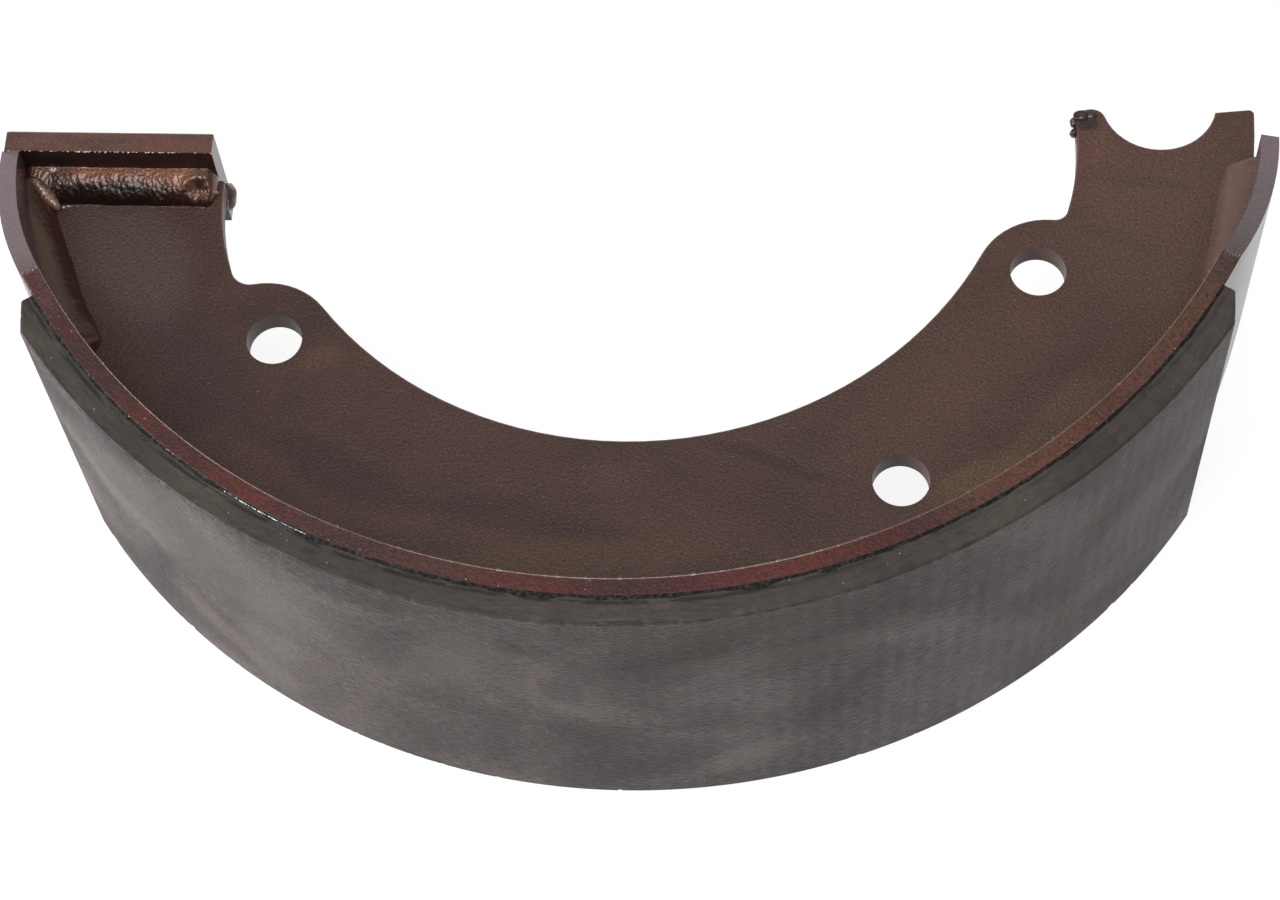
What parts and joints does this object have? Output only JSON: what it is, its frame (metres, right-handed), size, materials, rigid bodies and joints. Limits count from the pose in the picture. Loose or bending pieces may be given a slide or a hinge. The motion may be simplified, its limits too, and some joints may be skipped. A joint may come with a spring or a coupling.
{
  "type": "brake shoe",
  "caption": "Single-web drum brake shoe: curved rim with tapered ends on a crescent web, bonded lining, cam pad, and a half-round anchor notch.",
  "frame": {"origin": "on the axis of the drum the shoe works in, in the plane of the shoe's lower edges as it lies on its side", "axes": "+Z along the drum axis, up from the face the shoe lies on; +X towards the anchor end; the crown of the shoe points to -Y and the pad and the notch are on the +Y side"},
  "size_m": [0.2843, 0.1487, 0.09],
  "materials": {
    "mill_scale_web": "hot rolled steel plate with a dark brown oiled scale, mottled",
    "mill_scale_rim": "rolled steel strip, brown grey scale, sheared edges rusted red brown",
    "lining": "moulded friction compound, ground outer face with pale flecks",
    "adhesive": "cured dark brown bonding adhesive",
    "pad_steel": "flat bar with dull mottled faces and milled edges",
    "weld_metal": "arc weld bead, rippled, copper brown sheen"
  },
  "bodies": {
    "root": {"web_plate": "mill_scale_web", "rim_table": "mill_scale_rim", "friction_lining": "lining", "adhesive_film": "adhesive", "cam_pad": "pad_steel", "cam_pad_weld_upper": "weld_metal", "cam_pad_weld_lower": "weld_metal", "cam_end_weld_upper": "weld_metal", "cam_end_weld_lower": "weld_metal", "centre_weld_upper": "weld_metal", "centre_weld_lower": "weld_metal", "anchor_end_weld_upper": "weld_metal", "anchor_end_weld_lower": "weld_metal"}
  },
  "joints": []
}
